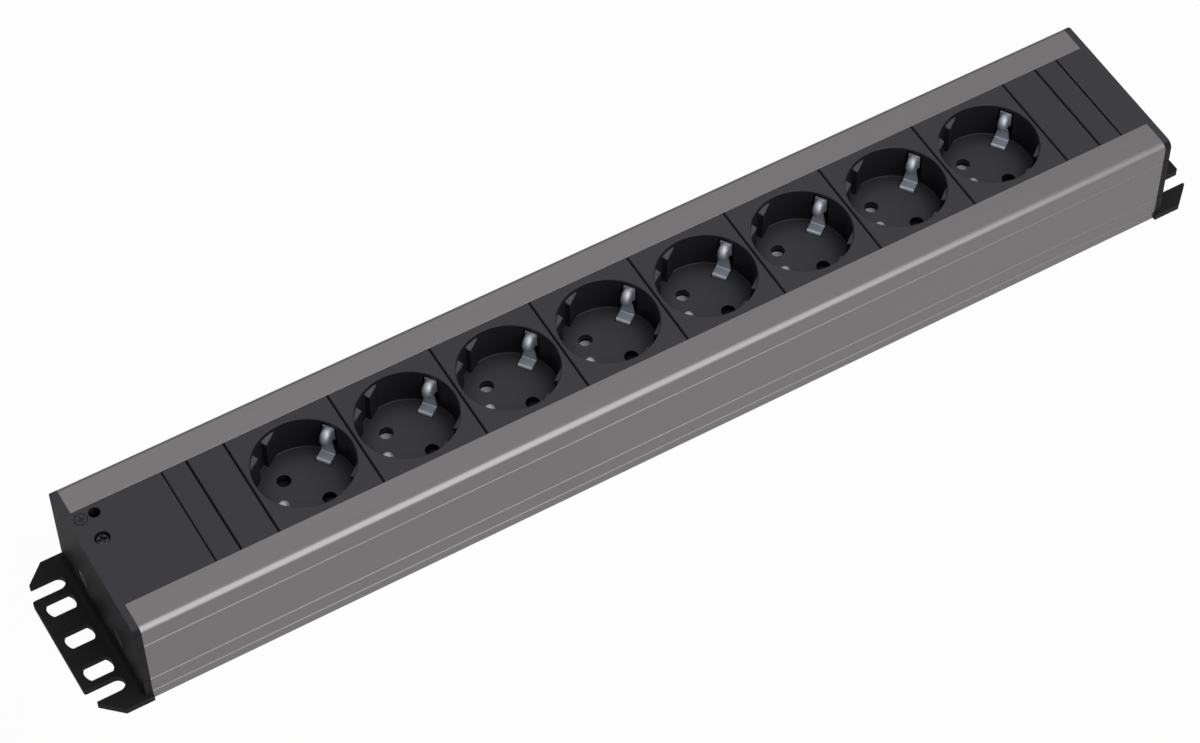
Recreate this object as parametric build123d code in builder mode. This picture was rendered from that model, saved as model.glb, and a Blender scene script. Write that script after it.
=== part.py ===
from build123d import *
import os
from math import cos, radians, sin

# Rack power distribution unit: a row of earthed sockets in an extruded aluminium
# profile, closed at both ends by moulded brackets with slotted rack ears.
# X runs along the unit, -Y is its front side and +Z points out of the sockets.
# The origin is at the middle of the underside.

os.makedirs("parts", exist_ok=True)

# Rack interface
ear_reach = 21.3
ear_width = 73.6
ear_thickness = 3.0
slot_inset = 8.75
slot_spacing_y = 15.875
slot_length = 11.4
slot_width = 7.5
open_slot_y = 25.35
open_slot_width = 6.4
open_slot_depth = 14.7
ear_tab_inset = 2.1
ear_tab_y = 29.4
ear_chamfer_inset = 10.0
ear_corner = 1.0
tab_corner = 0.4
ear_root_radius = 3.0

# Extruded profile
profile_width = 71.5
profile_height = 44.5
top_corner = 3.0
bottom_corner = 0.6
side_wall = 2.0
base_wall = 1.8
foot_width = 6.0
foot_height = 1.6
lip_thickness = 2.2
mouth_width = 45.3
shelf_thickness = 1.6
shelf_clearance = 1.0
groove_depths = (9.9, 31.8, 39.5)
groove_width = 0.8
groove_cut = 0.4
port_y = 15.0
port_z = 13.5
port_diameter = 6.0
port_bore = 3.8
port_gap = 1.6
port_web = 2.0

# Inserts that fill the mouth of the profile
slide_gap = 0.15
seat_gap = 0.2
insert_thickness = 5.4
shoulder_width = 53.0
shoulder_thickness = 3.0
joint_gap = 0.3
joint_chamfer = 0.5
inner_cover_length = 15.2
outer_cover_length = 10.2
cover_skin = 2.0
cover_side = 1.5

# Sockets
socket_count = 8
socket_pitch = 42.7
well_radius = 19.6
well_depth = 17.0
well_corner = 0.6
well_rim = 0.35
floor_thickness = 3.0
cup_wall = 1.5
cup_skirt = 5.5
earth_angle = 36.0
pin_spacing = 19.0
pin_hole = 5.4
pin_hole_rim = 0.15
pad_distance = 17.2
pad_gap = 6.6
pad_top = 2.0
pad_slope = 1.4

# Earth clips
clip_width = 5.8
clip_thickness = 0.5
clip_leg_radius = 13.5
clip_heel_radius = 18.2
clip_bend = 0.9
clip_head_radius = 18.3
clip_head_top = 2.8
clip_head_height = 8.0
clip_head_width = 4.0
clip_tab_radius = 19.9
clip_tab_top = 2.9
clip_tab_height = 6.8
clip_tab_width = 4.8
leg_slot = 1.7
leg_slot_below = 3.0
leg_slot_shift = 0.6
pocket_reach = 22.0
pocket_wall = 1.0
pocket_side_gap = 0.35
pocket_roof = 1.4

# Shutters
shutter_gap = 0.4
shutter_blade = 1.4
shutter_width = 6.2
shutter_hub = 6.8
shutter_ramp = 1.0
ramp_length = 3.6
ramp_tip = 1.3
ramp_width = 5.6
pivot_diameter = 2.6
pivot_clearance = 0.25

# Carriers that close the sockets from below
spigot_gap = 0.3
spigot_height = 2.5
flange_thickness = 1.5
flange_inset = 0.2

# Current rails
rail_thickness = 0.8
rail_width = 7.0
rail_bottom = 7.4
rail_grip = 6.5
rail_overhang = 18.35
sleeve_diameter = 6.6
sleeve_bore = 4.9
sleeve_top = 20.4
sleeve_slit = 0.8
sleeve_slit_depth = 7.0
sleeve_clearance = 0.4
earth_rail_width = 6.0
strap_overhang = 1.0

# Tray that carries the rails
tray_width = 27.0
tray_floor = 1.2
tray_end_gap = 2.0
tray_wall = 1.4
tray_wall_height = 6.0
tray_rib = 1.2
tray_rib_spacing = 4.4

# Terminal block and cord entry
block_length = 12.0
block_width = 23.0
block_height = 16.0
block_inset = 24.5
wire_bore = 4.0
wire_bore_depth = 6.0
clamp_bore = 3.4
clamp_screw = 3.0
clamp_head = 5.0
clamp_head_height = 1.8
rail_slot_gap = 0.3
bush_inset = 15.0
bush_bore = 9.4
bush_neck = 13.6
bush_flange = 18.0
bush_flange_thickness = 1.2
bush_lip = 15.4
bush_lip_height = 1.0

# End brackets and their screws
cap_thickness = 2.8
left_tongue = 36.0
right_tongue = 11.6
spigot_length = 6.0
spigot_wall = 2.0
screw_shank = 3.4
screw_head = 7.6
screw_hole = 4.6
screw_length = 14.0
screw_sink = 0.3

# Earth bonding point on the left tongue
bond_screw_inset = 5.4
bond_screw_y = 7.2
bond_hole_inset = 7.6
bond_hole_y = 18.7
bond_hole = 4.6
bond_head = 5.4
bond_head_height = 2.0
bond_recess = 5.9
bond_recess_depth = 2.8
bond_shank = 3.0
bond_boss = 6.2
bond_head_edge = 0.5
plate_thickness = 1.0
plate_length = 13.0
plate_start_y = 3.0
plate_end_y = 28.5

# Values that follow from the ones above
row_length = socket_count * socket_pitch
profile_length = left_tongue + right_tongue + 2 * (inner_cover_length + outer_cover_length) + row_length
socket_row_start = left_tongue + outer_cover_length + inner_cover_length - profile_length / 2
ear_end = profile_length / 2 + ear_reach
ear_tab_x = ear_end - ear_tab_inset
ear_chamfer_x = ear_end - ear_chamfer_inset
cavity_floor = foot_height + base_wall
inner_width = profile_width - 2 * side_wall
lip_bottom = profile_height - lip_thickness
insert_width = mouth_width - 2 * slide_gap
insert_bottom = profile_height - insert_thickness
shoulder_top = lip_bottom - seat_gap
shoulder_bottom = shoulder_top - shoulder_thickness
shelf_top = shoulder_bottom - seat_gap
cup_radius = well_radius + cup_wall
shelf_edge = cup_radius + shelf_clearance
shelf_reach = inner_width / 2 + side_wall / 2 - shelf_edge
plate_top = shelf_top - shelf_thickness - seat_gap
floor_top = profile_height - well_depth
floor_bottom = floor_top - floor_thickness
skirt_bottom = floor_bottom - cup_skirt
carrier_shoulder = skirt_bottom - seat_gap
carrier_bottom = carrier_shoulder - flange_thickness
spigot_top = carrier_shoulder + spigot_height
earth_rail_top = carrier_bottom - seat_gap
earth_rail_bottom = earth_rail_top - rail_thickness
rail_top = rail_bottom + rail_thickness
pin_radius = pin_spacing / 2
pin_angle = earth_angle + 90
contact_x = pin_radius * cos(radians(pin_angle))
contact_y = pin_radius * sin(radians(pin_angle))
pocket_width = clip_width + 2 * pocket_side_gap
socket_centres = [socket_row_start + (place + 0.5) * socket_pitch for place in range(socket_count)]
bush_x = bush_inset - profile_length / 2
bond_screw_x = bond_screw_inset - profile_length / 2
bond_hole_x = bond_hole_inset - profile_length / 2
block_start = block_inset - profile_length / 2
rail_start = block_start + block_length - rail_grip
rail_end = socket_centres[-1] + rail_overhang
tray_start = block_start + block_length + tray_end_gap / 2


def finish(builder, label):
    # Names one finished piece and writes its file.
    builder.part.label = label
    export_step(builder.part, f"parts/{label}.step")


# Outline shared by the profile and the two end brackets
with BuildSketch() as outline:
    with Locations((0, profile_height / 2)):
        Rectangle(profile_width, profile_height)
    fillet(outline.vertices().group_by(Axis.Y)[-1], top_corner)
    fillet(outline.vertices().group_by(Axis.Y)[0], bottom_corner)
    # V grooves along both sides
    for depth in groove_depths:
        for side in (-1, 1):
            with BuildLine():
                Polyline((side * profile_width / 2, profile_height - depth + groove_width / 2),
                         (side * (profile_width / 2 - groove_cut), profile_height - depth),
                         (side * profile_width / 2, profile_height - depth - groove_width / 2), close=True)
            make_face(mode=Mode.SUBTRACT)

# Section of the extrusion: lips over the mouth, shelves under the inserts, screw ports on webs
with BuildSketch() as section:
    add(outline.sketch)
    with Locations((0, (cavity_floor + lip_bottom) / 2)):
        Rectangle(inner_width, lip_bottom - cavity_floor, mode=Mode.SUBTRACT)
    with Locations((0, profile_height)):
        Rectangle(mouth_width, 2 * lip_thickness, mode=Mode.SUBTRACT)
    Rectangle(profile_width - 2 * foot_width, 2 * foot_height, mode=Mode.SUBTRACT)
    for side in (-1, 1):
        with Locations((side * (shelf_edge + shelf_reach / 2), shelf_top - shelf_thickness / 2)):
            Rectangle(shelf_reach, shelf_thickness)
        with Locations((side * port_y, (cavity_floor + port_z) / 2)):
            Rectangle(port_web, port_z - cavity_floor)
        with Locations((side * port_y, port_z)):
            Circle(port_diameter / 2)
            Circle(port_bore / 2, mode=Mode.SUBTRACT)
        with Locations((side * port_y, port_z + port_diameter / 2)):
            Rectangle(port_gap, port_diameter, mode=Mode.SUBTRACT)

with BuildPart() as housing_profile:
    with BuildSketch(Plane.YZ.offset(-profile_length / 2)):
        add(section.sketch)
    extrude(amount=profile_length)
    with BuildSketch(Plane.XY):
        with Locations((bush_x, 0)):
            Circle((bush_neck + joint_gap) / 2)
    extrude(amount=cavity_floor + seat_gap, mode=Mode.SUBTRACT)
finish(housing_profile, "housing_profile")


def make_insert_plate(start, length):
    # Face plate with the shoulders that slide between lip and shelf, for every insert.
    middle = start + length / 2
    width = length - joint_gap
    with BuildPart() as plate:
        with BuildSketch(Plane((middle, 0, insert_bottom))):
            Rectangle(width, insert_width)
        extrude(amount=insert_thickness)
        chamfer(plate.edges().filter_by(Axis.Y).group_by(Axis.Z)[-1], joint_chamfer)
        with BuildSketch(Plane((middle, 0, shoulder_bottom))):
            Rectangle(width, shoulder_width)
        extrude(amount=shoulder_thickness)
    return plate.part


def make_cover(label, start, length):
    middle = start + length / 2
    with BuildPart() as cover:
        add(make_insert_plate(start, length))
        with BuildSketch(Plane((middle, 0, shoulder_bottom))):
            Rectangle(length - joint_gap - 2 * cover_side, insert_width - 2 * cover_side)
        extrude(amount=profile_height - cover_skin - shoulder_bottom, mode=Mode.SUBTRACT)
    finish(cover, label)


covers_right = socket_row_start + row_length
make_cover("cover_plate_1", socket_row_start - inner_cover_length - outer_cover_length, outer_cover_length)
make_cover("cover_plate_2", socket_row_start - inner_cover_length, inner_cover_length)
make_cover("cover_plate_3", covers_right, inner_cover_length)
make_cover("cover_plate_4", covers_right + inner_cover_length, outer_cover_length)


def earth_plane(centre, height):
    # Level plane at one socket, with its X axis on the line of the two earth clips.
    return Plane((centre, 0, height)).rotated((0, 0, earth_angle))


def make_socket(label, centre):
    face = Plane((centre, 0, profile_height))
    axis = Axis((centre, 0, 0), (0, 0, 1))
    side_view = Plane((centre, 0, profile_height), x_dir=(1, 0, 0), z_dir=(0, -1, 0))
    with BuildPart() as socket:
        add(make_insert_plate(centre - socket_pitch / 2, socket_pitch))
        # Round cup with the two bosses that house the earth clips
        with BuildSketch(Plane((centre, 0, skirt_bottom))):
            Circle(cup_radius)
        extrude(amount=shoulder_top - skirt_bottom)
        with BuildSketch(earth_plane(centre, floor_bottom)):
            Rectangle(2 * (pocket_reach + pocket_wall), pocket_width + 2 * pocket_wall)
        extrude(amount=shoulder_top - floor_bottom)
        # Well with a rounded foot and a broken rim
        with BuildSketch(side_view):
            with BuildLine():
                Polyline((0, 0), (well_radius + well_rim, 0), (well_radius, -well_rim),
                         (well_radius, well_corner - well_depth))
                RadiusArc((well_radius, well_corner - well_depth), (well_radius - well_corner, -well_depth),
                          well_corner)
                Polyline((well_radius - well_corner, -well_depth), (0, -well_depth), (0, 0))
            make_face()
        revolve(axis=axis, mode=Mode.SUBTRACT)
        # Guide pads: flats across the well beside each pin hole, split by a gap, with sloping tops
        with BuildSketch(earth_plane(centre, floor_top)):
            Circle(well_radius + cup_wall / 2)
            Rectangle(2 * cup_radius, 2 * pad_distance, mode=Mode.SUBTRACT)
            Rectangle(pad_gap, 2 * cup_radius, mode=Mode.SUBTRACT)
        extrude(amount=well_depth - pad_top)
        with BuildSketch(side_view):
            with BuildLine():
                Polyline((0, -pad_top), (well_radius, -pad_top), (pad_distance, -pad_top - pad_slope),
                         (0, -pad_top - pad_slope), (0, -pad_top))
            make_face()
        revolve(axis=axis, mode=Mode.SUBTRACT)
        # Pockets in the wall for the earth clips
        with BuildSketch(earth_plane(centre, floor_top)):
            Rectangle(2 * pocket_reach, pocket_width)
        extrude(amount=well_depth - pocket_roof, mode=Mode.SUBTRACT)
        # Shutter chamber under the floor
        with BuildSketch(Plane((centre, 0, skirt_bottom))):
            Circle(well_radius)
        extrude(amount=cup_skirt, mode=Mode.SUBTRACT)
        # Pin holes and the slots for the clips' legs
        with BuildSketch(earth_plane(centre, floor_bottom)):
            with Locations((0, pin_radius), (0, -pin_radius)):
                Circle(pin_hole / 2)
            with Locations((clip_leg_radius, 0), (-clip_leg_radius, 0)):
                Rectangle(leg_slot, pocket_width)
        extrude(amount=floor_thickness, mode=Mode.SUBTRACT)
        rims = socket.edges().filter_by(GeomType.CIRCLE).filter_by(lambda edge: edge.radius == pin_hole / 2)
        chamfer(rims.group_by(Axis.Z)[-1], pin_hole_rim)
    finish(socket, label)


def make_clip_head(front, margin, reach):
    # Slot-shaped tube as long as the reach, closed inwards by half a turn of its own half section.
    height = clip_head_height - 2 * margin
    width = clip_head_width - 2 * margin
    with BuildPart() as head:
        with BuildSketch(front):
            SlotOverall(height, width, rotation=90)
        extrude(amount=reach)
        with BuildSketch(front):
            SlotOverall(height, width, rotation=90)
            Rectangle(width, height, align=(Align.CENTER, Align.MAX), mode=Mode.SUBTRACT)
        revolve(axis=Axis(front.origin, -front.x_dir), revolution_arc=180)
    return head.part


def make_clip(label, centre, side):
    # One spring strip: leg through the floor, foot and tapered riser, then a hollow round head on a tab.
    turn = radians(earth_angle)
    outward = Vector(side * cos(turn), side * sin(turn), 0)
    across = Vector(0, 0, 1).cross(outward)
    top_point = Vector(centre, 0, profile_height)
    view = Plane(top_point, x_dir=outward, z_dir=-across)
    foot = clip_thickness / 2 + seat_gap - well_depth
    leg_end = earth_rail_top + seat_gap - profile_height
    waist = -clip_head_top - clip_head_height
    head_middle = Vector(0, 0, -clip_head_top - clip_head_height / 2)
    front = Plane(top_point + outward * clip_head_radius + head_middle, x_dir=across, z_dir=outward)
    with BuildPart() as clip:
        with BuildLine(view) as path:
            FilletPolyline(
                (clip_leg_radius, leg_end),
                (clip_leg_radius, foot),
                (clip_heel_radius, foot),
                (clip_heel_radius, waist + clip_thickness / 2),
                radius=clip_bend,
            )
        with BuildSketch(Plane(path.line @ 0, x_dir=outward, z_dir=(0, 0, 1))):
            Rectangle(clip_thickness, clip_width)
        sweep(path=path.line)
        # The riser narrows from the foot's width to the head's
        with BuildSketch(Plane(top_point, x_dir=across, z_dir=outward)):
            for hand in (-1, 1):
                with BuildLine():
                    Polyline((hand * clip_width / 2, foot + clip_bend), (hand * clip_head_width / 2, waist),
                             (hand * clip_head_width / 2, 0), (hand * clip_width / 2, 0), close=True)
                make_face()
        extrude(amount=pocket_reach, mode=Mode.SUBTRACT)
        # Tab behind the head
        tab_middle = Vector(0, 0, -clip_tab_top - clip_tab_height / 2)
        with BuildSketch(Plane(top_point + outward * clip_tab_radius + tab_middle, x_dir=across, z_dir=outward)):
            Rectangle(clip_tab_width, clip_tab_height)
        extrude(amount=clip_thickness / 2, both=True)
        # Head pressed out of the strip, open at the back
        add(make_clip_head(front, 0, clip_tab_radius - clip_head_radius))
        add(make_clip_head(front, clip_thickness, pocket_reach - clip_head_radius), mode=Mode.SUBTRACT)
    finish(clip, label)


def make_shutter(label, centre):
    bottom = spigot_top + shutter_gap
    ramp_base = bottom + shutter_blade
    with BuildPart() as shutter:
        with BuildSketch(earth_plane(centre, bottom)):
            SlotCenterToCenter(pin_spacing, shutter_width, rotation=90)
            Circle(shutter_hub / 2)
        extrude(amount=shutter_blade)
        # A ramp on each blade turns the shutter when both pins press on it
        for side in (-1, 1):
            blade = earth_plane(centre, ramp_base)
            tip = blade.origin + blade.y_dir * (side * (pin_radius + ramp_tip))
            with BuildSketch(Plane(tip, x_dir=blade.x_dir * side, z_dir=blade.y_dir * -side)):
                with BuildLine():
                    Polyline((ramp_width / 2, 0), (-ramp_width / 2, 0), (-ramp_width / 2, shutter_ramp),
                             (ramp_width / 2, 0))
                make_face()
            extrude(amount=ramp_length)
        with BuildSketch(earth_plane(centre, bottom)):
            Circle(pivot_diameter / 2 + pivot_clearance)
        extrude(amount=shutter_blade, mode=Mode.SUBTRACT)
    finish(shutter, label)


def make_carrier(label, centre):
    with BuildPart() as carrier:
        with BuildSketch(Plane((centre, 0, carrier_bottom))):
            Circle(cup_radius - flange_inset)
        extrude(amount=flange_thickness)
        with BuildSketch(Plane((centre, 0, carrier_shoulder))):
            Circle(well_radius - spigot_gap)
        extrude(amount=spigot_height)
        # Post that the shutter turns on
        with BuildSketch(Plane((centre, 0, spigot_top))):
            Circle(pivot_diameter / 2)
        extrude(amount=floor_bottom - seat_gap - spigot_top)
        with BuildSketch(earth_plane(centre, carrier_bottom)):
            with Locations((0, pin_radius), (0, -pin_radius)):
                Circle(sleeve_diameter / 2 + sleeve_clearance)
            with Locations((clip_leg_radius - leg_slot_shift, 0), (leg_slot_shift - clip_leg_radius, 0)):
                Rectangle(leg_slot_below, pocket_width)
        extrude(amount=spigot_top - carrier_bottom, mode=Mode.SUBTRACT)
    finish(carrier, label)


for number, centre in enumerate(socket_centres, start=1):
    make_socket(f"socket_{number}", centre)
    make_clip(f"earth_clip_{number}a", centre, 1)
    make_clip(f"earth_clip_{number}b", centre, -1)
    make_shutter(f"shutter_{number}", centre)
    make_carrier(f"contact_carrier_{number}", centre)


def make_rail(label, side):
    # Flat rail with one slit sleeve for a plug pin at each socket.
    places = [(centre + side * contact_x, side * contact_y) for centre in socket_centres]
    with BuildPart() as rail:
        with BuildSketch(Plane.XY.offset(rail_bottom)):
            with Locations(((rail_start + rail_end) / 2, side * contact_y)):
                Rectangle(rail_end - rail_start, rail_width)
        extrude(amount=rail_thickness)
        with BuildSketch(Plane.XY.offset(rail_top)):
            with Locations(*places):
                Circle(sleeve_diameter / 2)
                Circle(sleeve_bore / 2, mode=Mode.SUBTRACT)
        extrude(amount=sleeve_top - rail_top)
        with BuildSketch(Plane.XY.offset(sleeve_top)):
            with Locations(*places):
                Rectangle(sleeve_slit, sleeve_diameter + sleeve_slit, rotation=earth_angle)
        extrude(amount=-sleeve_slit_depth, mode=Mode.SUBTRACT)
    finish(rail, label)


make_rail("live_rail", 1)
make_rail("neutral_rail", -1)

# Earth rail: one stamping with a strap under the legs of each pair of clips
strap_length = 2 * (clip_leg_radius + strap_overhang)
with BuildPart() as earth_rail:
    with BuildSketch(Plane.XY.offset(earth_rail_bottom)):
        with Locations(((rail_start + rail_end) / 2, 0)):
            Rectangle(rail_end - rail_start, earth_rail_width)
        with Locations(*[(centre, 0) for centre in socket_centres]):
            Rectangle(strap_length, earth_rail_width, rotation=earth_angle)
    extrude(amount=rail_thickness)
finish(earth_rail, "earth_rail")

# Tray: floor, side walls, two ribs under each current rail and a tall rib under the earth rail
tray_bottom = cavity_floor + seat_gap
with BuildPart() as rail_tray:
    with BuildSketch(Plane.YZ.offset(tray_start)):
        with Locations((0, tray_bottom + tray_floor / 2)):
            Rectangle(tray_width, tray_floor)
        for side in (-1, 1):
            with Locations((side * (tray_width - tray_wall) / 2, tray_bottom)):
                Rectangle(tray_wall, tray_wall_height, align=(Align.CENTER, Align.MIN))
            for offset in (-tray_rib_spacing / 2, tray_rib_spacing / 2):
                with Locations((side * contact_y + offset, (tray_bottom + rail_bottom - seat_gap) / 2)):
                    Rectangle(tray_rib, rail_bottom - seat_gap - tray_bottom)
        with Locations((0, (tray_bottom + earth_rail_bottom - seat_gap) / 2)):
            Rectangle(2 * tray_rib, earth_rail_bottom - seat_gap - tray_bottom)
    extrude(amount=rail_end + tray_end_gap - tray_start)
finish(rail_tray, "rail_tray")

# Terminal block: a wire bore, a rail slot and a clamp screw bore for each conductor
block_bottom = cavity_floor + seat_gap
block_top = block_bottom + block_height
pole_rails = [(-contact_y, rail_bottom, rail_width), (0, earth_rail_bottom, earth_rail_width),
              (contact_y, rail_bottom, rail_width)]
clamp_x = (block_start + block_length + rail_start) / 2
with BuildPart() as terminal_block:
    with BuildSketch(Plane.XY.offset(block_bottom)):
        with Locations((block_start + block_length / 2, 0)):
            Rectangle(block_length, block_width)
    extrude(amount=block_height)
    for pole_y, pole_bottom, pole_width in pole_rails:
        with BuildSketch(Plane.YZ.offset(block_start)):
            with Locations((pole_y, pole_bottom + rail_thickness)):
                Circle(wire_bore / 2)
        extrude(amount=wire_bore_depth, mode=Mode.SUBTRACT)
        with BuildSketch(Plane.YZ.offset(rail_start - rail_slot_gap)):
            with Locations((pole_y, pole_bottom + rail_thickness / 2)):
                Rectangle(pole_width + 2 * rail_slot_gap, rail_thickness + 2 * rail_slot_gap)
        extrude(amount=block_length, mode=Mode.SUBTRACT)
        with BuildSketch(Plane.XY.offset(pole_bottom + rail_thickness)):
            with Locations((clamp_x, pole_y)):
                Circle(clamp_bore / 2)
        extrude(amount=block_top - pole_bottom, mode=Mode.SUBTRACT)
        with BuildSketch(Plane.XY.offset(block_top)):
            with Locations((clamp_x, pole_y)):
                Circle(clamp_head / 2 + seat_gap)
        extrude(amount=-clamp_head_height, mode=Mode.SUBTRACT)
finish(terminal_block, "terminal_block")

with BuildPart() as terminal_screws:
    for pole_y, pole_bottom, _ in pole_rails:
        tip = pole_bottom + rail_thickness + seat_gap
        with BuildSketch(Plane.XY.offset(tip)):
            with Locations((clamp_x, pole_y)):
                Circle(clamp_screw / 2)
        extrude(amount=block_top - clamp_head_height + seat_gap - tip)
        with BuildSketch(Plane.XY.offset(block_top - clamp_head_height + seat_gap)):
            with Locations((clamp_x, pole_y)):
                Circle(clamp_head / 2)
        extrude(amount=clamp_head_height)
finish(terminal_screws, "terminal_screws")

# Bush for the supply cord in the underside: flange in the recess, neck through the wall, snap lip
flange_bottom = foot_height - seat_gap - bush_flange_thickness
lip_start = cavity_floor + seat_gap
with BuildPart() as cord_inlet_bush:
    with BuildSketch(Plane.XZ):
        with BuildLine():
            Polyline(
                (bush_x + bush_bore / 2, flange_bottom),
                (bush_x + bush_flange / 2, flange_bottom),
                (bush_x + bush_flange / 2, foot_height - seat_gap),
                (bush_x + bush_neck / 2, foot_height - seat_gap),
                (bush_x + bush_neck / 2, lip_start),
                (bush_x + bush_lip / 2, lip_start),
                (bush_x + bush_neck / 2, lip_start + bush_lip_height),
                (bush_x + bush_bore / 2, lip_start + bush_lip_height),
                close=True,
            )
        make_face()
    revolve(axis=Axis((bush_x, 0, 0), (0, 0, 1)))
finish(cord_inlet_bush, "cord_inlet_bush")

# Closed ear slot: a round hole of the slot's length cut by two flats
with BuildSketch() as ear_slot:
    Circle(slot_length / 2)
    Rectangle(slot_length, slot_width, mode=Mode.INTERSECT)

# Ear seen from above, with X outwards
with BuildSketch() as ear:
    with BuildLine():
        Polyline(
            (profile_length / 2, -ear_width / 2),
            (ear_chamfer_x, -ear_width / 2),
            (ear_tab_x, -ear_tab_y),
            (ear_tab_x, -open_slot_y),
            (ear_end, -open_slot_y),
            (ear_end, open_slot_y),
            (ear_tab_x, open_slot_y),
            (ear_tab_x, ear_tab_y),
            (ear_chamfer_x, ear_width / 2),
            (profile_length / 2, ear_width / 2),
            close=True,
        )
    make_face()
    slot_root = ear_end - open_slot_depth + open_slot_width / 2
    for side in (-1, 1):
        with Locations((slot_root, side * open_slot_y)):
            Circle(open_slot_width / 2, mode=Mode.SUBTRACT)
            Rectangle(open_slot_depth, open_slot_width, align=(Align.MIN, Align.CENTER), mode=Mode.SUBTRACT)
    tips = ear.vertices().group_by(Axis.X)
    fillet(tips[-1], ear_corner)
    fillet(ear.vertices().filter_by_position(Axis.X, ear_tab_x, ear_tab_x), tab_corner)
    with Locations(*[(ear_end - slot_inset, row * slot_spacing_y) for row in (-1, 0, 1)]):
        add(ear_slot.sketch, mode=Mode.SUBTRACT)


def make_bracket(label, side, tongue_length):
    # Built outwards along its own X axis, so that one side is the other turned round.
    outward = Plane((0, 0, 0), x_dir=(side, 0, 0), z_dir=(0, 0, 1))
    end_view = Plane((side * profile_length / 2, 0, 0), x_dir=(0, side, 0), z_dir=(side, 0, 0))
    cap_end = profile_length / 2 + cap_thickness
    with BuildPart() as bracket:
        with BuildSketch(end_view):
            add(outline.sketch)
        extrude(amount=cap_thickness)
        with BuildSketch(outward):
            add(ear.sketch)
        extrude(amount=ear_thickness)
        # Hollow fillet in the corner between ear and end face
        with BuildSketch(Plane((0, 0, ear_thickness), x_dir=(side, 0, 0), z_dir=(0, -side, 0))):
            with BuildLine():
                Polyline((cap_end, ear_root_radius), (cap_end - cap_thickness, ear_root_radius),
                         (cap_end - cap_thickness, 0), (cap_end + ear_root_radius, 0))
                RadiusArc((cap_end, ear_root_radius), (cap_end + ear_root_radius, 0), -ear_root_radius)
            make_face()
        extrude(amount=profile_width / 2 - top_corner, both=True)
        # Tongue that fills the end of the mouth, with the inserts' shoulders
        tongue = tongue_length - joint_gap / 2
        with BuildSketch(outward.offset(insert_bottom)):
            with Locations((profile_length / 2, 0)):
                Rectangle(tongue, insert_width, align=(Align.MAX, Align.CENTER))
        extrude(amount=insert_thickness)
        with BuildSketch(outward.offset(shoulder_bottom)):
            with Locations((profile_length / 2, 0)):
                Rectangle(tongue, shoulder_width, align=(Align.MAX, Align.CENTER))
        extrude(amount=shoulder_thickness)
        # Blades that locate the bracket inside the side walls
        with BuildSketch(end_view):
            for blade in (-1, 1):
                blade_y = blade * (inner_width / 2 - joint_gap - spigot_wall / 2)
                blade_top = shelf_top - shelf_thickness - joint_gap
                blade_bottom = cavity_floor + joint_gap
                with Locations((blade_y, (blade_top + blade_bottom) / 2)):
                    Rectangle(spigot_wall, blade_top - blade_bottom)
        extrude(amount=-spigot_length)
        # Countersunk holes over the screw ports
        for hole in (-1, 1):
            with Locations(Plane((side * cap_end, hole * port_y, port_z), z_dir=(side, 0, 0))):
                CounterSinkHole(screw_hole / 2, screw_head / 2 + screw_sink, depth=cap_thickness)
        if side < 0:
            # Bosses, recess and hole of the earth bonding point
            with BuildSketch(Plane.XY.offset(plate_top + seat_gap)):
                with Locations((bond_screw_x, bond_screw_y), (bond_hole_x, bond_hole_y)):
                    Circle(bond_boss / 2)
            extrude(amount=insert_bottom - plate_top)
            with BuildSketch(Plane.XY.offset(plate_top)):
                with Locations((bond_screw_x, bond_screw_y)):
                    Circle(bond_shank / 2 + seat_gap)
                with Locations((bond_hole_x, bond_hole_y)):
                    Circle(bond_hole / 2)
            extrude(amount=profile_height - plate_top, mode=Mode.SUBTRACT)
            with BuildSketch(Plane.XY.offset(profile_height)):
                with Locations((bond_screw_x, bond_screw_y)):
                    Circle(bond_recess / 2)
            extrude(amount=-bond_recess_depth, mode=Mode.SUBTRACT)
    finish(bracket, label)


make_bracket("end_bracket_left", -1, left_tongue)
make_bracket("end_bracket_right", 1, right_tongue)


def make_bracket_screws(label, side):
    head_face = side * (profile_length / 2 + cap_thickness)
    with BuildPart() as screws:
        for row in (-1, 1):
            axis = Axis((head_face, row * port_y, port_z), (side, 0, 0))
            # Profile of a countersunk screw, drawn inwards from the head
            with BuildSketch(Plane(axis.position, x_dir=(-side, 0, 0), z_dir=(0, 1, 0))):
                with BuildLine():
                    Polyline(
                        (screw_sink, 0),
                        (screw_sink, screw_head / 2),
                        (screw_sink + (screw_head - screw_shank) / 2, screw_shank / 2),
                        (screw_length, screw_shank / 2),
                        (screw_length, 0),
                        close=True,
                    )
                make_face()
            revolve(axis=axis)
    finish(screws, label)


make_bracket_screws("bracket_screws_left", -1)
make_bracket_screws("bracket_screws_right", 1)

# Earth plate under the left tongue: it reaches below the shelf of the profile
with BuildPart() as earth_plate:
    with BuildSketch(Plane.XY.offset(plate_top)):
        with Locations(((bond_screw_x + bond_hole_x) / 2, (plate_start_y + plate_end_y) / 2)):
            Rectangle(plate_length, plate_end_y - plate_start_y)
        with Locations((bond_screw_x, bond_screw_y)):
            Circle(bond_shank / 2 + seat_gap, mode=Mode.SUBTRACT)
        with Locations((bond_hole_x, bond_hole_y)):
            Circle(bond_hole / 2, mode=Mode.SUBTRACT)
    extrude(amount=-plate_thickness)
finish(earth_plate, "earth_plate")

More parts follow.
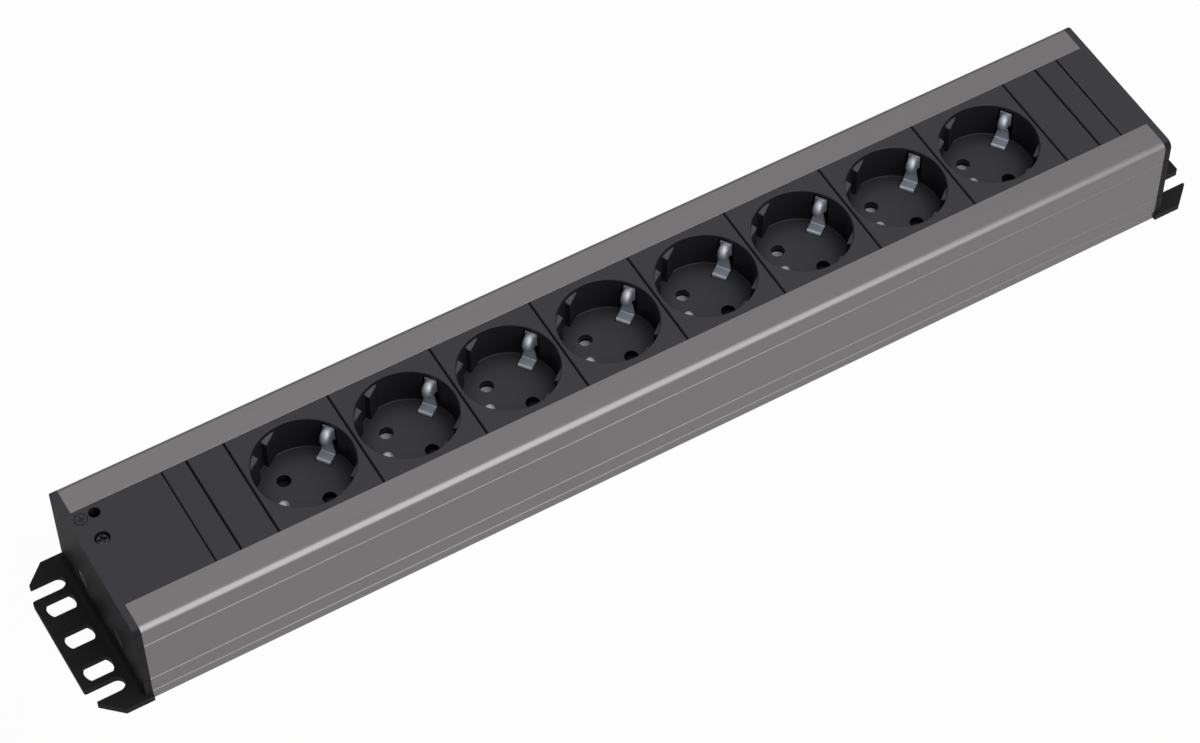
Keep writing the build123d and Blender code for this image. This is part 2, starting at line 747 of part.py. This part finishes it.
# Bonding screw: pan head on the floor of its recess, shank through the earth plate
head_seat = profile_height - bond_recess_depth + seat_gap
with BuildPart() as earth_screw:
    with BuildSketch(Plane.XY.offset(head_seat)):
        with Locations((bond_screw_x, bond_screw_y)):
            Circle(bond_head / 2)
    extrude(amount=bond_head_height)
    fillet(earth_screw.edges().group_by(Axis.Z)[-1], bond_head_edge)
    with BuildSketch(Plane.XY.offset(head_seat)):
        with Locations((bond_screw_x, bond_screw_y)):
            Circle(bond_shank / 2)
    extrude(amount=-(head_seat - plate_top + 2 * plate_thickness))
finish(earth_screw, "earth_screw")
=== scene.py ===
from math import cos, pi, radians, sin

import bmesh
import bpy
from mathutils import Matrix, Vector


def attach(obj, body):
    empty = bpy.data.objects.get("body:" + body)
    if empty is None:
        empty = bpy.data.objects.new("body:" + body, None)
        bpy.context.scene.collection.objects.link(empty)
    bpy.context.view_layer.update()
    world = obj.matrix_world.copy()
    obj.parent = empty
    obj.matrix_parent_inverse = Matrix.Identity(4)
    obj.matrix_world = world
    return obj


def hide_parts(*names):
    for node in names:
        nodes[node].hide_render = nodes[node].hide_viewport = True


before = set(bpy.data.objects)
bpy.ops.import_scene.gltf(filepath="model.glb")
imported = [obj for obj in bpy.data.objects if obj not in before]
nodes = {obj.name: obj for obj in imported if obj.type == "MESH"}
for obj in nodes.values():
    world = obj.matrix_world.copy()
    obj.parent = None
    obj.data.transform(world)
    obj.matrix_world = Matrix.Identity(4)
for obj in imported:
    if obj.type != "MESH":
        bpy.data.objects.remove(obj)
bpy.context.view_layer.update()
mm = 0.001
weldMm = 0.001    # points closer than this are one point
print("frame loaded:", len(nodes), "nodes")

colourA, colourB, colourOut = 6, 7, 2    # the colour sockets of a Mix node


def toLinear(hexColour):
    # sRGB hex to the linear colour that shaders work in
    parts = [int(hexColour[i:i + 2], 16) / 255 for i in (1, 3, 5)]
    return [c / 12.92 if c <= 0.04045 else ((c + 0.055) / 1.055) ** 2.4 for c in parts] + [1.0]


def addNode(tree, kind, values=None, links=None, **settings):
    # one node, its settings, its socket values and its incoming links
    node = tree.nodes.new(kind)
    for name, value in settings.items():
        setattr(node, name, value)
    for socket, value in (values or {}).items():
        node.inputs[socket].default_value = value
    for socket, source in (links or {}).items():
        tree.links.new(source, node.inputs[socket])
    return node


def combine(tree, operation, first, second=None):
    # one sum, of one or two values that are each a number or a node's output
    given = {0: first} if second is None else {0: first, 1: second}
    numbers = {k: v for k, v in given.items() if isinstance(v, (int, float))}
    sources = {k: v for k, v in given.items() if k not in numbers}
    return addNode(tree, "ShaderNodeMath", numbers, sources, operation=operation).outputs[0]


def mapValue(tree, value, fromLow, fromHigh, toLow=0.0, toHigh=1.0):
    # a value carried from one range to another and held at the ends
    ends = {"From Min": fromLow, "From Max": fromHigh, "To Min": toLow, "To Max": toHigh}
    return addNode(tree, "ShaderNodeMapRange", ends, {"Value": value}).outputs["Result"]


def mixColours(tree, share, ground, top):
    # the ground, a hex colour or a node's output, goes over to the hex colour on top
    values, links = {colourB: toLinear(top)}, {"Factor": share}
    if isinstance(ground, str):
        values[colourA] = toLinear(ground)
    else:
        links[colourA] = ground
    return addNode(tree, "ShaderNodeMix", values, links, data_type="RGBA").outputs[colourOut]


def addNoise(tree, position, sizeMm, detail, roughness=0.5):
    # noise with grains about sizeMm across
    values = {"Scale": 1000 / sizeMm, "Detail": detail, "Roughness": roughness}
    return addNode(tree, "ShaderNodeTexNoise", values, {"Vector": position}).outputs["Fac"]


def newMaterial(name):
    # an empty material, its tree and the place on the piece, in metres
    material = bpy.data.materials.new(name)
    material.use_nodes = True
    material.node_tree.nodes.clear()
    place = addNode(material.node_tree, "ShaderNodeTexCoord").outputs["Object"]
    return material, material.node_tree, place


def splitPlace(tree, place):    # gives X, Y and Z
    return addNode(tree, "ShaderNodeSeparateXYZ", {}, {"Vector": place}).outputs


def variedRoughness(tree, look, pattern, low=0.3, high=0.7):
    # low and high are where the pattern's values mostly lie
    half = look["spread"] / 2
    return mapValue(tree, pattern, low, high, look["roughness"] - half, look["roughness"] + half)


def finePattern(tree, look, pattern):
    # edges that look slightly rounded, and the pattern as a shallow relief
    softEdge = addNode(tree, "ShaderNodeBevel", {"Radius": look["edgeMm"] * mm}, samples=4)
    depth = {"Strength": look["bump"], "Distance": look["bumpMm"] * mm}
    sources = {"Height": pattern, "Normal": softEdge.outputs["Normal"]}
    return addNode(tree, "ShaderNodeBump", depth, sources).outputs["Normal"]


def addSurface(tree, values, links):
    # the shader and the output that close a material
    shader = addNode(tree, "ShaderNodeBsdfPrincipled", values, links)
    addNode(tree, "ShaderNodeOutputMaterial", {}, {"Surface": shader.outputs["BSDF"]})


# Materials: each is named for what the real piece is made of

aluminiumLook = {
    "colour": "#827f80", "streakColour": "#767374",
    "dieLineMm": 0.55, "dieLineLengthMm": 90.0, "lineDetail": 4.0, "lineRoughness": 0.6,
    "roughness": 0.36, "spread": 0.10, "bump": 0.05, "bumpMm": 0.02, "edgeMm": 0.25,
    # painted shade in the three side cuts
    "grooveShade": {"colour": "#646262", "fromZ": 3.0, "toZ": 36.0, "insideY": 35.68},
    # painted shade on the rounding of the back edge
    "farEdgeShade": {"colour": "#525151", "fromY": 33.1, "toY": 33.9, "fromZ": 41.0},
}


def anodisedAluminium():
    # extruded, then satin anodised grey: long faint die lines and a soft broad shine
    look, grooveShade, edge = aluminiumLook, aluminiumLook["grooveShade"], aluminiumLook["farEdgeShade"]
    material, tree, place = newMaterial("anodisedAluminium")
    across, along = 1000 / look["dieLineMm"], 1000 / look["dieLineLengthMm"]
    lines = addNode(tree, "ShaderNodeMapping", {"Scale": (along, across, across)},
                    {"Vector": place}).outputs["Vector"]
    fine = {"Scale": 1.0, "Detail": look["lineDetail"], "Roughness": look["lineRoughness"]}
    streaks = addNode(tree, "ShaderNodeTexNoise", fine, {"Vector": lines}).outputs["Fac"]
    tint = mixColours(tree, streaks, look["streakColour"], look["colour"])
    spot = splitPlace(tree, place)
    # painted shade: the three fine side cuts are coloured darker than the faces beside them
    offMiddle = combine(tree, "ABSOLUTE", spot["Y"])
    inside = combine(tree, "LESS_THAN", offMiddle, grooveShade["insideY"] * mm)
    above = combine(tree, "GREATER_THAN", spot["Z"], grooveShade["fromZ"] * mm)
    below = combine(tree, "LESS_THAN", spot["Z"], grooveShade["toZ"] * mm)
    inGrooveShade = combine(tree, "MULTIPLY", inside, combine(tree, "MULTIPLY", above, below))
    tint = mixColours(tree, inGrooveShade, tint, grooveShade["colour"])
    # painted shade: the rounding at the back edge is coloured darker, as that edge falls in shade
    onSide = mapValue(tree, spot["Y"], edge["fromY"] * mm, edge["toY"] * mm)
    high = combine(tree, "GREATER_THAN", spot["Z"], edge["fromZ"] * mm)
    tint = mixColours(tree, combine(tree, "MULTIPLY", onSide, high), tint, edge["colour"])
    addSurface(tree, {"Metallic": 1.0}, {
        "Base Color": tint, "Roughness": variedRoughness(tree, look, streaks),
        "Normal": finePattern(tree, look, streaks)})
    return material


plasticLooks = {
    # ABS, moulded with a spark-eroded grain: the ears and end caps, deep dull black, little shine
    "mouldedAbs": {
        "colour": "#1f1f21", "shade": "#1b1b1d", "roughness": 0.58, "spread": 0.08,
        "ior": 1.50, "specular": 0.10,
        "grainMm": 0.35, "bump": 0.16, "bumpMm": 0.03, "edgeMm": 0.25,
        "paintedBands": [{"colour": "#414145", "atZ": 44.5, "near": 0.05, "far": 0.45}]},    # painted light: the top face coloured lighter, as lit from above
    # polycarbonate, moulded: satin faces; its base colour is painted shade, the dark of the walls
    # of the wells and the joint edges, and each band over it is painted light or painted shade
    "satinPolycarbonate": {
        "colour": "#1c1b1f", "shade": "#18171b", "roughness": 0.50, "spread": 0.06,
        "ior": 1.50, "specular": 0.20,
        "grainMm": 0.30, "bump": 0.08, "bumpMm": 0.03, "edgeMm": 0.18,
        "paintedBands": [
            {"colour": "#424245", "atZ": 27.5, "near": 0.05, "far": 0.25},    # painted light: floors of the wells lighter than the walls
            {"colour": "#1c1b1f", "fromR": 12.0, "toR": 21.5},    # painted shade: darker towards the walls of each well
            {"colour": "#49494c", "atZ": 41.8, "near": 0.75, "far": 0.80,
             "fromR": 19.50, "toR": 19.40},    # painted light: sloped tops of the guide pads lighter
            {"colour": "#39393d", "atZ": 44.5, "near": 0.02, "far": 0.38}],    # painted light: top faces lighter, as lit from above
        "wells": {"firstX": -158.6, "pitch": 42.7}},    # from the left edge of socket 1
    # acetal, moulded in pale grey: the shutters, slightly waxy
    "greyAcetal": {
        "colour": "#b4b5b7", "shade": "#a8a9ac", "roughness": 0.38, "spread": 0.06,
        "ior": 1.48, "specular": 0.2,
        "grainMm": 0.40, "bump": 0.03, "bumpMm": 0.03, "edgeMm": 0.15,
        # painted shade: the arm under the front pin hole is black
        "arm": {"colour": "#121213", "fromY": 0.2, "toY": -0.2}},
    # glass-filled nylon, moulded: dull black inner pieces with a faint fibre mottle
    "glassFilledNylon": {
        "colour": "#202123", "shade": "#18191a", "roughness": 0.62, "spread": 0.12,
        "ior": 1.53, "specular": 0.5,
        "grainMm": 0.80, "bump": 0.20, "bumpMm": 0.03, "edgeMm": 0.15},
}
plasticNoise = {
    "grainDetail": 2.0, "grainRoughness": 0.55,
    "cloudMm": 18.0, "cloudDetail": 2.0,    # broad clouds between the colour and its shade
}


def paintedBandShare(tree, spot, band, wells):
    # the share of a band of painted light or shade: by height it is full within near of atZ and
    # gone at far;
    # by distance from the axis of a well it is gone at fromR and full at toR; a band with both has
    # the product
    shares = []
    if "atZ" in band:
        gap = combine(tree, "ABSOLUTE", combine(tree, "SUBTRACT", spot["Z"], band["atZ"] * mm))
        shares.append(mapValue(tree, gap, band["far"] * mm, band["near"] * mm))
    if "fromR" in band:
        pitch = wells["pitch"] * mm
        along = combine(tree, "SUBTRACT", spot["X"], wells["firstX"] * mm)
        step = combine(tree, "MODULO", along, pitch)
        middle = combine(tree, "SUBTRACT", step, pitch / 2)
        arm = addNode(tree, "ShaderNodeCombineXYZ", {}, {"X": middle, "Y": spot["Y"]})
        radius = addNode(tree, "ShaderNodeVectorMath", {}, {0: arm.outputs["Vector"]},
                         operation="LENGTH").outputs["Value"]
        shares.append(mapValue(tree, radius, band["fromR"] * mm, band["toR"] * mm))
    return shares[0] if len(shares) == 1 else combine(tree, "MULTIPLY", *shares)


def mouldedPlastic(name):
    look = plasticLooks[name]
    material, tree, place = newMaterial(name)
    noise = plasticNoise
    grain = addNoise(tree, place, look["grainMm"], noise["grainDetail"], noise["grainRoughness"])
    cloud = addNoise(tree, place, noise["cloudMm"], noise["cloudDetail"])
    tint = mixColours(tree, cloud, look["shade"], look["colour"])
    spot = splitPlace(tree, place)
    # painted light and shade over the moulded colour, one band after another
    for band in look.get("paintedBands", []):
        share = paintedBandShare(tree, spot, band, look.get("wells"))
        tint = mixColours(tree, share, tint, band["colour"])
    if "arm" in look:
        # painted shade: the arm under the front pin hole is coloured black, standing in for the
        # shade in that hole
        arm = look["arm"]
        armShade = mapValue(tree, spot["Y"], arm["fromY"] * mm, arm["toY"] * mm)
        tint = mixColours(tree, armShade, tint, arm["colour"])
    addSurface(tree, {"IOR": look["ior"], "Specular IOR Level": look["specular"]}, {
        "Base Color": tint, "Roughness": variedRoughness(tree, look, grain),
        "Normal": finePattern(tree, look, grain)})
    return material


metalLooks = {
    # spring strip, stamped and nickel plated: bright and slightly cool, with a fine grain
    "nickelPlatedSpring": {
        "colour": "#b4b8c0", "shade": "#a6aab3", "roughness": 0.56, "spread": 0.10,
        "grainMm": 0.5, "bump": 0.08, "bumpMm": 0.02, "edgeMm": 0.12, "metallic": 0.75},
    # brass strip, stamped: warm yellow rails and pin sleeves
    "stampedBrass": {
        "colour": "#c9a45a", "shade": "#b48f48", "roughness": 0.32, "spread": 0.14,
        "grainMm": 0.9, "bump": 0.06, "bumpMm": 0.02, "edgeMm": 0.12, "metallic": 1.0},
    # steel, zinc plated: the clamp screws
    "zincPlatedSteel": {
        "colour": "#b0b2b5", "shade": "#9a9ca0", "roughness": 0.36, "spread": 0.12,
        "grainMm": 0.6, "bump": 0.06, "bumpMm": 0.02, "edgeMm": 0.12, "metallic": 1.0},
    # steel, black zinc plated: the bracket screws, a brownish glint in each end face
    "blackZincSteel": {
        "colour": "#7a7674", "shade": "#6b6866", "roughness": 0.48, "spread": 0.12,
        "grainMm": 0.5, "bump": 0.08, "bumpMm": 0.02, "edgeMm": 0.12, "metallic": 1.0},
    # steel, blackened: the bonding screw, nearly as dark as the tongue around it
    "blackenedSteel": {
        "colour": "#4a494a", "shade": "#403f41", "roughness": 0.48, "spread": 0.12,
        "grainMm": 0.5, "bump": 0.08, "bumpMm": 0.02, "edgeMm": 0.12, "metallic": 1.0},
}
metalGrainDetail = 3.0


def platedMetal(name):
    look = metalLooks[name]
    material, tree, place = newMaterial(name)
    grain = addNoise(tree, place, look["grainMm"], metalGrainDetail)
    tint = mixColours(tree, grain, look["shade"], look["colour"])
    addSurface(tree, {"Metallic": look["metallic"]}, {
        "Base Color": tint, "Roughness": variedRoughness(tree, look, grain),
        "Normal": finePattern(tree, look, grain)})
    return material


materials = {"anodisedAluminium": anodisedAluminium()}
materials.update({name: mouldedPlastic(name) for name in plasticLooks})
materials.update({name: platedMetal(name) for name in metalLooks})

# Finish of each CAD node, by the start of its name; the longest start that fits counts
nodeFinishes = {
    "housing_profile": "anodisedAluminium",
    "end_bracket": "mouldedAbs",
    "bracket_screws": "blackZincSteel",
    "cover_plate": "satinPolycarbonate",
    "socket": "satinPolycarbonate",
    "earth_clip": "nickelPlatedSpring",
    "shutter": "greyAcetal",
    # painted shade: the first shutter is dressed in black ABS, so both holes of socket 1 look as
    # dark as shade
    "shutter_1": "mouldedAbs",
    "contact_carrier": "glassFilledNylon",
    "live_rail": "stampedBrass",
    "neutral_rail": "stampedBrass",
    "earth_rail": "stampedBrass",
    "rail_tray": "glassFilledNylon",
    "terminal_block": "glassFilledNylon",
    "terminal_screws": "zincPlatedSteel",
    "cord_inlet_bush": "mouldedAbs",
    "earth_plate": "nickelPlatedSpring",
    "earth_screw": "blackenedSteel",
}


def dress(piece, finish):
    # one material on the whole piece
    piece.data.materials.clear()
    piece.data.materials.append(materials[finish])


for nodeName, node in nodes.items():
    stem = max((key for key in nodeFinishes if nodeName.startswith(key)), key=len)
    dress(node, nodeFinishes[stem])
print("CAD nodes dressed")


def addObject(name, data):
    thing = bpy.data.objects.new(name, data)
    bpy.context.scene.collection.objects.link(thing)
    return thing


def sortElements(elements, key):
    # Blender's own order of new points and faces differs from run to run
    ranks = {element: rank for rank, element in enumerate(sorted(elements, key=key))}
    elements.sort(key=ranks.get)
    elements.index_update()


def meshObject(name, mesh):
    # an object with the finished shape, its faces turned outwards
    bmesh.ops.recalc_face_normals(mesh, faces=mesh.faces)
    sortElements(mesh.verts, lambda vert: [round(c / mm, 4) for c in vert.co])
    for elements in (mesh.edges, mesh.faces):
        sortElements(elements, lambda element: sorted(vert.index for vert in element.verts))
    data = bpy.data.meshes.new(name)
    mesh.to_mesh(data)
    mesh.free()
    return addObject(name, data)


def lathe(name, profile, steps=48):
    # solid of revolution about Z from (radius, height) pairs in mm
    mesh = bmesh.new()
    ring = [mesh.verts.new((r * mm, 0, z * mm)) for r, z in profile]
    edges = [mesh.edges.new(pair) for pair in zip(ring, ring[1:])]
    bmesh.ops.spin(mesh, geom=ring + edges, axis=(0, 0, 1), cent=(0, 0, 0),
                   angle=2 * pi, steps=steps)
    bmesh.ops.remove_doubles(mesh, verts=mesh.verts, dist=weldMm * mm)
    return meshObject(name, mesh)


driverTip = {"spanShare": 0.55, "widthShare": 0.8}    # how much is left at the bottom of a recess


def crossCutter(span, width, depth):
    # two crossed tapered wings, the shape that a driver's tip leaves
    mesh = bmesh.new()
    for turn in (0, pi / 2):
        for vert in bmesh.ops.create_cube(mesh, size=1.0)["verts"]:
            low = vert.co.z < 0
            x = vert.co.x * span * (driverTip["spanShare"] if low else 1.0)
            y = vert.co.y * width * (driverTip["widthShare"] if low else 1.0)
            vert.co = Vector((x * cos(turn) - y * sin(turn), x * sin(turn) + y * cos(turn),
                              -depth if low else depth)) * mm
    return meshObject("crossCutter", mesh)


def cutCross(piece, top, span, width, depth, turn):
    # cuts the recess into the top of a screw that stands along Z
    cutter = crossCutter(span, width, depth)
    cutter.matrix_world = Matrix.Translation((0, 0, top * mm)) @ Matrix.Rotation(turn, 4, "Z")
    cut = piece.modifiers.new("recess", "BOOLEAN")
    cut.operation, cut.object, cut.solver = "DIFFERENCE", cutter, "EXACT"
    cut.use_self = True    # the two wings cross each other
    bpy.context.view_layer.update()
    shown = piece.evaluated_get(bpy.context.evaluated_depsgraph_get())
    shape = bpy.data.meshes.new_from_object(shown)
    piece.modifiers.clear()
    piece.data = shape
    bpy.data.objects.remove(cutter)


# Bonding screw on the left tongue: a pan head with a cross recess, down in its round pocket
bondingScrew = {
    "x": -214.6, "y": 7.2, "headRadius": 2.5, "headSeat": 41.9, "headTop": 43.5, "edge": 0.5,
    "shankRadius": 1.5, "foot": 35.1,
    "span": 4.6, "slot": 1.35, "depth": 1.4, "turn": 1,    # the recess, its turn in degrees
}


def makeBondingScrew():
    s = bondingScrew
    edge = s["edge"]
    core, shoulder = s["headRadius"] - edge, s["headTop"] - edge
    quarter = [(core + edge * cos(radians(a)), shoulder + edge * sin(radians(a)))
               for a in range(0, 91, 15)]
    profile = [(0, s["foot"]), (s["shankRadius"], s["foot"]), (s["shankRadius"], s["headSeat"]),
               (s["headRadius"], s["headSeat"])] + quarter + [(0, s["headTop"])]
    screw = lathe("bondingScrewDetail", profile)
    cutCross(screw, s["headTop"], s["span"], s["slot"], s["depth"], radians(s["turn"]))
    screw.matrix_world = Matrix.Translation((s["x"] * mm, s["y"] * mm, 0))
    dress(screw, "blackenedSteel")
    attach(screw, "unit")
    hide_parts("earth_screw")


makeBondingScrew()

# Countersunk bracket screws, two in each end face, flush heads with a cross recess
bracketScrews = {
    "faceX": 222.5, "y": 15.0, "z": 13.5,
    "headRadius": 3.8, "rim": 0.12, "shankRadius": 1.7, "length": 13.7,
    "span": 4.4, "slot": 1.1, "depth": 1.7, "turns": (20, 64),    # the recess, turns in degrees
}


def makeBracketScrews():
    s = bracketScrews
    cone = s["headRadius"] - s["shankRadius"]
    profile = [(0, -s["length"]), (s["shankRadius"], -s["length"]), (s["shankRadius"], -cone),
               (s["headRadius"], -s["rim"]), (s["headRadius"], 0), (0, 0)]
    for label, side in (("left", -1), ("right", 1)):
        for end, place, turn in zip(("front", "back"), (-1, 1), s["turns"]):
            screw = lathe(f"bracketScrewDetail_{label}_{end}", profile)
            cutCross(screw, 0, s["span"], s["slot"], s["depth"], radians(turn))
            spot = (side * s["faceX"] * mm, place * s["y"] * mm, s["z"] * mm)
            outwards = Matrix.Rotation(side * pi / 2, 4, "Y")
            screw.matrix_world = Matrix.Translation(spot) @ outwards
            dress(screw, "blackZincSteel")
            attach(screw, "unit")
            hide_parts(f"bracket_screws_{label}")


makeBracketScrews()
print("screws made")

# Protective earth sign beside the bonding hole, printed in a grey darker than the tongue
earthSign = {
    "x": -217.9, "y": 18.3, "faceZ": 44.5, "film": 0.02,
    "ringRadius": 2.6, "ringSteps": 40, "line": 0.34, "stem": 1.55,
    "bars": ((0.0, 1.5), (-0.62, 1.0), (-1.24, 0.5)),    # height and half length of each
    "colour": "#1c1c1e", "roughness": 0.75, "spread": 0.2, "specular": 0.1,
    "wearMm": 0.4, "wearDetail": 2.0,
}


def printInk():
    # pad printed ink: a thin, slightly duller film with an uneven shine
    s = earthSign
    material, tree, place = newMaterial("padPrintInk")
    wear = addNoise(tree, place, s["wearMm"], s["wearDetail"])
    addSurface(tree, {"Base Color": toLinear(s["colour"]), "Specular IOR Level": s["specular"]},
               {"Roughness": variedRoughness(tree, s, wear, 0.0, 1.0)})
    return material


def makeEarthSign():
    s = earthSign
    mesh = bmesh.new()

    def strip(corners):
        mesh.faces.new([mesh.verts.new((x * mm, y * mm, 0)) for x, y in corners])

    def onRing(radius, step):
        angle = 2 * pi * step / s["ringSteps"]
        return radius * cos(angle), radius * sin(angle)

    outer, inner = s["ringRadius"], s["ringRadius"] - s["line"]
    for k in range(s["ringSteps"]):
        strip([onRing(inner, k), onRing(outer, k), onRing(outer, k + 1), onRing(inner, k + 1)])
    half = s["line"] / 2
    strip([(-half, half), (half, half), (half, s["stem"]), (-half, s["stem"])])
    for y, reach in s["bars"]:
        strip([(-reach, y - half), (reach, y - half), (reach, y + half), (-reach, y + half)])
    bmesh.ops.remove_doubles(mesh, verts=mesh.verts, dist=weldMm * mm)
    raised = bmesh.ops.extrude_face_region(mesh, geom=mesh.faces[:])["geom"]
    bmesh.ops.translate(mesh, vec=(0, 0, s["film"] * mm),
                        verts=[v for v in raised if isinstance(v, bmesh.types.BMVert)])
    sign = meshObject("earthSign", mesh)
    sign.matrix_world = Matrix.Translation((s["x"] * mm, s["y"] * mm, s["faceZ"] * mm))
    materials["padPrintInk"] = printInk()
    dress(sign, "padPrintInk")
    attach(sign, "unit")


makeEarthSign()
print("earth sign made")

# Studio: a pale floor that the camera sees as white, an even room and one soft lamp; a flag dims
# the room's light from full at toX to its level at fromX, and on the floor a flag is a painted
# shadow
studio = {
    "white": "#ffffff",
    "floorSize": 8.0, "floorColour": "#e9e9e9", "floorShade": "#3a3a3a",
    "floorWhite": 0.965, "floorMirrored": 0.62,
    "floorShadowFlags": [{"fromX": -0.30, "toX": -0.22, "level": 0.30}],
    "roomLevel": 0.42,
    "roomFlags": [{"fromX": -0.95, "toX": -0.15, "level": 0.25},    # a dark one on the left
                  {"fromX": 0.80, "toX": 0.15, "level": 0.74}],    # a thin veil on the right
    "lamp": {"place": (0.14, -0.75, 0.86), "aim": (0.0, -0.03, 0.04), "size": (0.9, 1.75),
             "watts": 11.2},
}


def rayKinds(tree):
    # 1 for rays from the camera, and 1 for rays that a shiny or clear surface sends on
    path = addNode(tree, "ShaderNodeLightPath").outputs
    mirrored = combine(tree, "MAXIMUM", path["Is Glossy Ray"], path["Is Transmission Ray"])
    return path["Is Camera Ray"], mirrored


def flagged(tree, position, flags):
    along = splitPlace(tree, position)["X"]
    sides = [mapValue(tree, along, flag["fromX"], flag["toX"], flag["level"]) for flag in flags]
    return sides[0] if len(sides) == 1 else combine(tree, "MULTIPLY", *sides)


def makeFloor():
    s = studio
    material, tree, place = newMaterial("paintedFloor")
    seen, mirrored = rayKinds(tree)
    # painted shadow: left of the set the floor is painted darker and glows less in reflections
    dim = flagged(tree, place, s["floorShadowFlags"])
    direct = combine(tree, "MULTIPLY", seen, s["floorWhite"])
    bright = combine(tree, "MULTIPLY", mirrored, s["floorMirrored"])
    share = combine(tree, "MAXIMUM", direct, combine(tree, "MULTIPLY", bright, dim))
    paint = mixColours(tree, dim, s["floorShade"], s["floorColour"])
    matt = addNode(tree, "ShaderNodeBsdfDiffuse", {}, {"Color": paint})
    white = addNode(tree, "ShaderNodeEmission", {"Color": toLinear(s["white"]), "Strength": 1.0})
    mixed = addNode(tree, "ShaderNodeMixShader", {}, {
        0: share, 1: matt.outputs[0], 2: white.outputs[0]})
    addNode(tree, "ShaderNodeOutputMaterial", {}, {"Surface": mixed.outputs[0]})
    half = s["floorSize"] / 2
    data = bpy.data.meshes.new("studioFloor")
    corners = [(-half, -half, 0), (half, -half, 0), (half, half, 0), (-half, half, 0)]
    data.from_pydata(corners, [], [(0, 1, 2, 3)])
    data.materials.append(material)
    floor = addObject("studioFloor", data)


def makeRoom():
    s = studio
    world = bpy.data.worlds.new("studioRoom")
    world.use_nodes = True
    tree = world.node_tree
    tree.nodes.clear()
    seen, mirrored = rayKinds(tree)
    around = addNode(tree, "ShaderNodeTexCoord").outputs["Generated"]
    level = combine(tree, "MAXIMUM", mirrored, s["roomLevel"])
    dimmed = combine(tree, "MULTIPLY", level, flagged(tree, around, s["roomFlags"]))
    glow = addNode(tree, "ShaderNodeBackground", {"Color": toLinear(s["white"])},
                   {"Strength": combine(tree, "MAXIMUM", dimmed, seen)})
    addNode(tree, "ShaderNodeOutputWorld", {}, {"Surface": glow.outputs[0]})
    bpy.context.scene.world = world


def makeLamp():
    lamp = studio["lamp"]
    data = bpy.data.lights.new("keySoftbox", "AREA")
    data.shape, data.energy = "RECTANGLE", lamp["watts"]
    data.size, data.size_y = lamp["size"]
    softbox = addObject("keySoftbox", data)
    softbox.location = lamp["place"]
    aim = Vector(lamp["aim"]) - Vector(lamp["place"])
    softbox.rotation_euler = aim.to_track_quat("-Z", "Y").to_euler()


makeFloor()
makeRoom()
makeLamp()

# Camera: found from the ear width and the points marked on the photograph
cameraView = {
    "place": (-0.4215075, -0.7210926, 1.1311334),
    "right": (0.86512028, -0.50151136, -0.00729835),
    "up": (0.40639088, 0.69235823, 0.59622692),
    "back": (-0.2939615, -0.51877398, 0.80278278),
    "lensMm": 109.766, "sensorMm": 36.0, "clip": (0.05, 50),
}


def makeCamera():
    c = cameraView
    data = bpy.data.cameras.new("camera")
    data.lens, data.sensor_width, data.sensor_fit = c["lensMm"], c["sensorMm"], "HORIZONTAL"
    data.clip_start, data.clip_end = c["clip"]
    camera = addObject("camera", data)
    turn = Matrix((c["right"], c["up"], c["back"])).transposed()
    camera.matrix_world = Matrix.Translation(c["place"]) @ turn.to_4x4()
    bpy.context.scene.camera = camera


makeCamera()
bpy.context.scene.view_settings.view_transform = "Standard"
print("studio and camera set")
